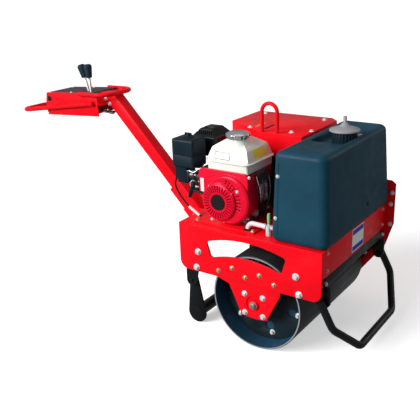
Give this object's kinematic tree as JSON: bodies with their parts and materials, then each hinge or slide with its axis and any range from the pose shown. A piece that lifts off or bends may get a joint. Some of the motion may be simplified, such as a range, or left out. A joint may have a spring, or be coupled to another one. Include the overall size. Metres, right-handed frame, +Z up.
{
  "type": "walk-behind single-drum road roller",
  "caption": "Walk-behind single-drum road roller: steel drum in a red frame, petrol engine, black water tank, sloping handle with control head, folding hoop and stand.",
  "frame": {"origin": "on the ground straight below the middle of the drum's axis", "axes": "+X forward, from the handle to the water tank; +Y to the left of someone walking behind it; +Z up"},
  "size_m": [1.9245, 0.703, 1.0555],
  "materials": {
    "black_paint": "satin black paint",
    "black_plastic": "satin",
    "bright_steel": "zinc plated",
    "cast_aluminium": "cast",
    "cream_paint": "gloss cream",
    "dark_steel": "dark painted steel",
    "engine_red": "gloss red",
    "hose_pvc": "soft clear tube",
    "red_paint": "gloss red paint",
    "rolled_steel": "rolled steel, dull",
    "tank_plastic": "moulded",
    "valve_brass": "cast"
  },
  "bodies": {
    "chassis": {"side_plate_right": "red_paint", "side_plate_left": "red_paint", "deck": "red_paint", "front_plate": "red_paint", "front_bar": "black_paint", "rear_cross": "red_paint", "scraper": "rolled_steel", "bearing_right": "bright_steel", "bearing_left": "bright_steel", "drive_guard": "red_paint", "belt_hood": "red_paint", "lifting_eye": "red_paint", "engine_mount": "red_paint", "crankcase": "cast_aluminium", "cylinder_block": "cast_aluminium", "fan_cover": "engine_red", "starter": "engine_red", "pull_grip": "black_plastic", "fuel_tank": "cream_paint", "tank_brackets": "black_paint", "fuel_cap": "bright_steel", "air_cleaner": "black_plastic", "carburettor": "cast_aluminium", "engine_controls": "dark_steel", "muffler": "black_paint", "water_tank": "tank_plastic", "tank_cap": "tank_plastic", "water_valve": "valve_brass", "water_hose": "hose_pvc", "spray_bar": "bright_steel", "socket": "red_paint", "handle_beam": "red_paint", "control_head": "red_paint", "control_panel": "black_plastic", "hand_rail": "red_paint", "lever_guard": "red_paint", "lever_rods": "bright_steel", "lever_knobs": "black_plastic", "throttle_cable": "black_plastic"},
    "drum": {"drum_shell": "rolled_steel", "drum_webs": "dark_steel", "drum_shafts": "bright_steel"},
    "hoop": {"hoop": "black_paint"},
    "rear_stand": {"rear_stand": "black_paint"}
  },
  "joints": [
    {"name": "drum_roll", "type": "hinge", "parent": "chassis", "child": "drum", "pos_m": [0, 0, 0.2], "axis": [0, 1, 0], "continuous": true},
    {"name": "hoop_lift", "type": "hinge", "parent": "chassis", "child": "hoop", "pos_m": [0.282, 0, 0.271], "axis": [0, -1, 0], "range_deg": [0, 70]},
    {"name": "stand_fold", "type": "hinge", "parent": "chassis", "child": "rear_stand", "pos_m": [-0.338, 0, 0.205], "axis": [0, 1, 0], "range_deg": [0, 80]}
  ]
}
